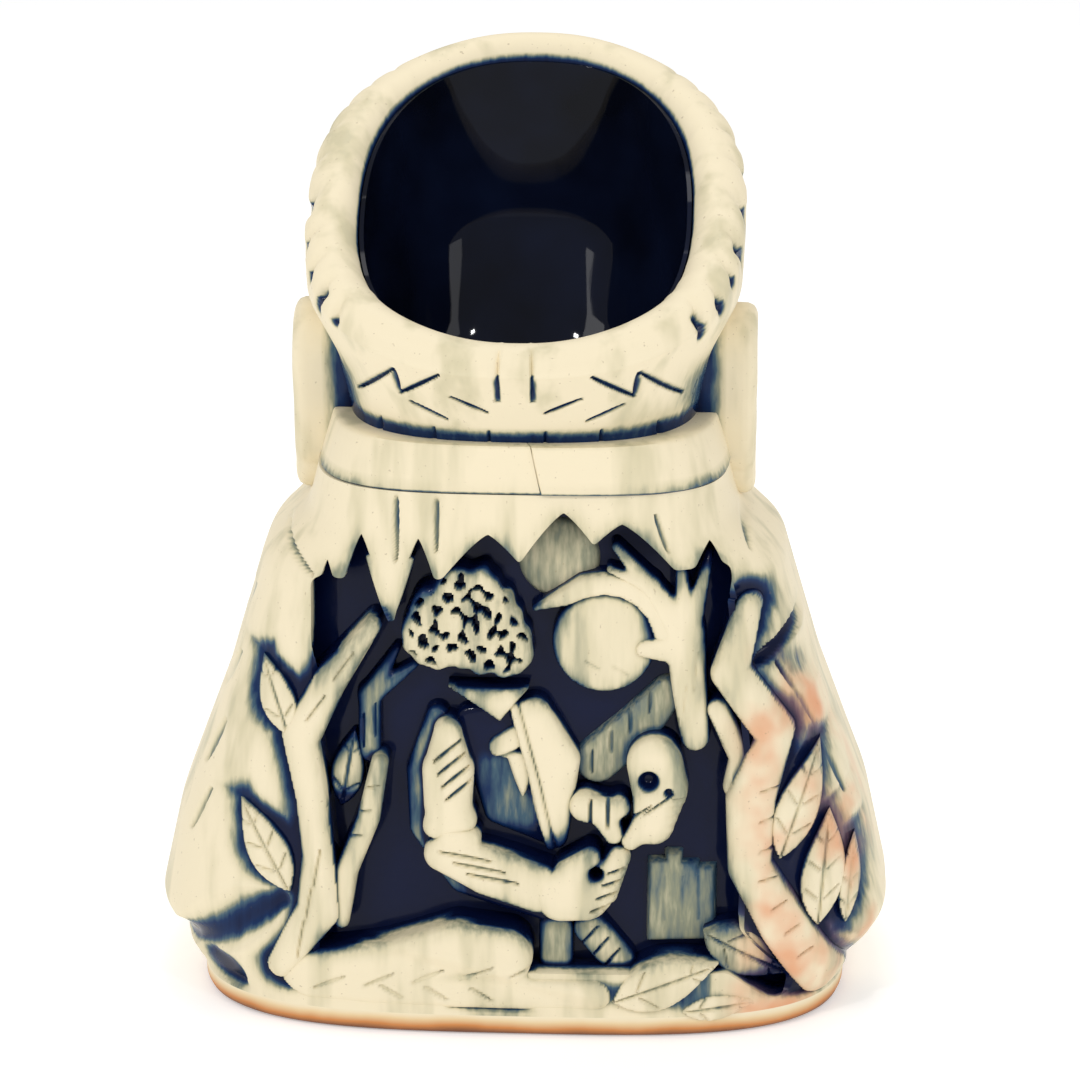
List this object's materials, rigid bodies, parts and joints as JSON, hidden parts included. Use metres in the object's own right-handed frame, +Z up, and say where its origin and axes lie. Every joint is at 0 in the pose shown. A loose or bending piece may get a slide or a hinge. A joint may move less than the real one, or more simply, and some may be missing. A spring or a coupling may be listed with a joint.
{
  "type": "tiki mug",
  "caption": "Ceramic tiki mug: an open hollow head on a broad torso, with a carved cave scene sunk into the back, made of separately formed clay pieces.",
  "frame": {"origin": "on the resting plane, in the middle of the foot slab, under the middle of the head", "axes": "+Z up along the mug's height, -Y towards the carved scene on the back, +Y towards the face, +X to the right as the carved scene is seen"},
  "size_m": [0.132, 0.0879, 0.164],
  "materials": {
    "wiped_clay": "satin cream clay with a dark wash left in the carving",
    "washed_clay": "cream clay under a half-wiped blue wash",
    "dark_glass": "deep gloss, near-black navy",
    "foot_clay": "bare fired clay, toasted along its edge"
  },
  "bodies": {
    "root": {"foot_slab": "foot_clay", "torso_back": "wiped_clay", "torso_front": "wiped_clay", "head_shell": "wiped_clay", "glaze_lining": "dark_glass", "collar_left": "wiped_clay", "collar_right": "wiped_clay", "lapel_left": "wiped_clay", "lapel_right": "wiped_clay", "ear_left": "wiped_clay", "ear_right": "wiped_clay", "brow": "wiped_clay", "nose": "wiped_clay", "eye_left": "wiped_clay", "eye_right": "wiped_clay", "mouth": "wiped_clay", "cave_light": "washed_clay", "ruin_upper": "washed_clay", "ruin_lower": "washed_clay", "moon": "wiped_clay", "moon_branch": "wiped_clay", "dead_tree": "wiped_clay", "sapling": "wiped_clay", "trunk_left": "wiped_clay", "trunk_left_limb": "wiped_clay", "trunk_right": "wiped_clay", "trunk_right_limb": "wiped_clay", "leaf_left_top": "wiped_clay", "leaf_left_middle": "wiped_clay", "leaf_left_low": "wiped_clay", "leaf_right_top": "wiped_clay", "leaf_right_low": "wiped_clay", "leaf_right_back": "wiped_clay", "leaf_ground_left": "wiped_clay", "leaf_ground_right": "wiped_clay", "leaf_ground_front": "wiped_clay", "figure_hair": "wiped_clay", "figure_collar": "wiped_clay", "figure_jacket": "wiped_clay", "figure_pocket": "wiped_clay", "figure_sleeve": "wiped_clay", "figure_forearm": "wiped_clay", "figure_hand_low": "wiped_clay", "figure_hand_high": "wiped_clay", "figure_leg_left": "wiped_clay", "figure_leg_right": "wiped_clay", "carved_skull": "wiped_clay", "ground_rock": "wiped_clay"}
  },
  "joints": []
}
